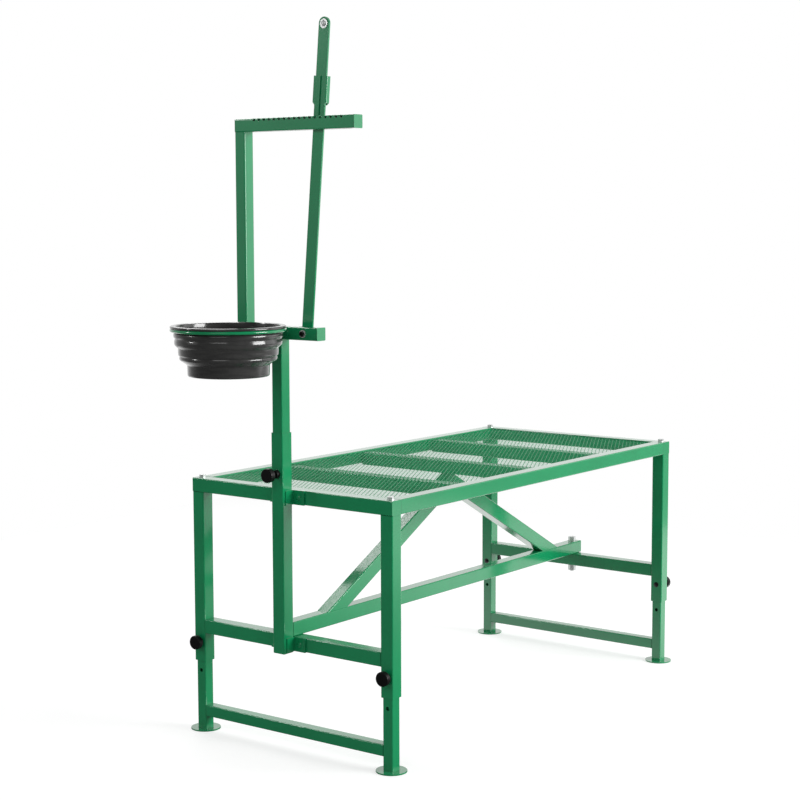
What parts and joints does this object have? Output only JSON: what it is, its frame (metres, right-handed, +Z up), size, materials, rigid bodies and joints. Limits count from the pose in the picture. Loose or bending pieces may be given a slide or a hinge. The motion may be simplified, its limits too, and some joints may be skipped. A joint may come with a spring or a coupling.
{
  "type": "goat milking stand",
  "caption": "Steel milking stand with a mesh deck, telescoping legs, and a height-adjustable head gate with a pivoting neck lever and a lift-out feed bowl.",
  "frame": {"origin": "centre of the whole stand's outline on the floor", "axes": "+Z up; the head gate end faces -Y; +X is to the right when looking along +Y at the head gate"},
  "size_m": [0.6079, 1.5106, 1.5898],
  "materials": {
    "frame_paint": "gloss green powder coat",
    "leg_paint": "gloss green powder coat",
    "gate_paint": "gloss green powder coat",
    "lever_paint": "gloss green powder coat",
    "mesh_paint": "green powder coat on expanded metal",
    "collar_paint": "black powder coat",
    "zinc_bolts": "bright zinc",
    "pivot_steel": "dark steel",
    "knob_plastic": "black, satin",
    "cap_plastic": "black, satin",
    "bowl_plastic": "dark grey, glossy"
  },
  "bodies": {
    "deck_frame": {"beam_bolt": "zinc_bolts", "beam_end_cap": "frame_paint", "beam_nut": "zinc_bolts", "deck_corner_bolts": "zinc_bolts", "deck_front_rail": "frame_paint", "deck_front_support": "frame_paint", "deck_left_rail": "frame_paint", "deck_mesh": "mesh_paint", "deck_middle_support": "frame_paint", "deck_rail_caps": "frame_paint", "deck_rear_rail": "frame_paint", "deck_rear_support": "frame_paint", "deck_right_rail": "frame_paint", "front_brace": "frame_paint", "front_left_outer_leg": "frame_paint", "front_right_outer_leg": "frame_paint", "front_upper_crossbar": "frame_paint", "leg_hole_caps": "cap_plastic", "leg_knob_collars": "collar_paint", "leg_top_plugs": "zinc_bolts", "long_beam": "frame_paint", "plate_bolts": "frame_paint", "plate_nuts": "zinc_bolts", "post_knob_collar": "collar_paint", "post_lower_plate": "frame_paint", "post_sleeve": "frame_paint", "post_upper_plate": "frame_paint", "rear_brace": "frame_paint", "rear_left_outer_leg": "frame_paint", "rear_right_outer_leg": "frame_paint", "rear_upper_crossbar": "frame_paint"},
    "front_leg_frame": {"front_left_inner_leg": "leg_paint", "front_right_inner_leg": "leg_paint", "front_lower_crossbar": "leg_paint", "front_foot_discs": "leg_paint"},
    "rear_leg_frame": {"rear_left_inner_leg": "leg_paint", "rear_right_inner_leg": "leg_paint", "rear_lower_crossbar": "leg_paint", "rear_foot_discs": "leg_paint"},
    "front_left_knob": {"front_left_leg_knob": "knob_plastic"},
    "front_right_knob": {"front_right_leg_knob": "knob_plastic"},
    "rear_left_knob": {"rear_left_leg_knob": "knob_plastic"},
    "rear_right_knob": {"rear_right_leg_knob": "knob_plastic"},
    "post_pin": {"post_knob": "knob_plastic"},
    "head_gate": {"inner_post": "gate_paint", "gate_lower_bar": "gate_paint", "gate_upright": "gate_paint", "gate_top_bar": "gate_paint", "gate_end_caps": "gate_paint", "pivot_bolt": "pivot_steel", "pivot_nut": "zinc_bolts", "pivot_spacers": "zinc_bolts", "ring_bracket": "gate_paint", "bracket_bolts": "gate_paint", "bracket_nuts": "zinc_bolts", "bowl_ring": "gate_paint"},
    "lever": {"neck_lever": "lever_paint", "lever_top_rivet": "zinc_bolts"},
    "catch": {"lever_catch": "lever_paint"},
    "bowl": {"feed_bowl": "bowl_plastic"}
  },
  "joints": [
    {"name": "front_leg_height", "type": "slide", "parent": "deck_frame", "child": "front_leg_frame", "axis": [0, 0, -1], "range_m": [-0.068, 0.136]},
    {"name": "rear_leg_height", "type": "slide", "parent": "deck_frame", "child": "rear_leg_frame", "axis": [0, 0, -1], "range_m": [-0.068, 0.136]},
    {"name": "front_left_pin", "type": "slide", "parent": "deck_frame", "child": "front_left_knob", "axis": [0, -1, 0], "range_m": [-0.005, 0.008]},
    {"name": "front_right_pin", "type": "slide", "parent": "deck_frame", "child": "front_right_knob", "axis": [0, -1, 0], "range_m": [-0.005, 0.008]},
    {"name": "rear_left_pin", "type": "slide", "parent": "deck_frame", "child": "rear_left_knob", "axis": [0, 1, 0], "range_m": [-0.005, 0.008]},
    {"name": "rear_right_pin", "type": "slide", "parent": "deck_frame", "child": "rear_right_knob", "axis": [0, 1, 0], "range_m": [-0.005, 0.008]},
    {"name": "post_knob_pin", "type": "slide", "parent": "deck_frame", "child": "post_pin", "axis": [0, -1, 0], "range_m": [-0.005, 0.008]},
    {"name": "head_gate_height", "type": "slide", "parent": "deck_frame", "child": "head_gate", "axis": [0, 0, 1], "range_m": [-0.068, 0.136]},
    {"name": "lever_swing", "type": "hinge", "parent": "head_gate", "child": "lever", "pos_m": [0.0743, -0.4813, 0.9297], "axis": [0, 1, 0], "range_deg": [-20.8, 8.6]},
    {"name": "catch_slide", "type": "slide", "parent": "lever", "child": "catch", "axis": [0.0818, 0, 0.9967], "range_m": [0, 0.018]},
    {"name": "bowl_lift", "type": "slide", "parent": "head_gate", "child": "bowl", "axis": [0, 0, 1], "range_m": [0, 0.13]}
  ]
}
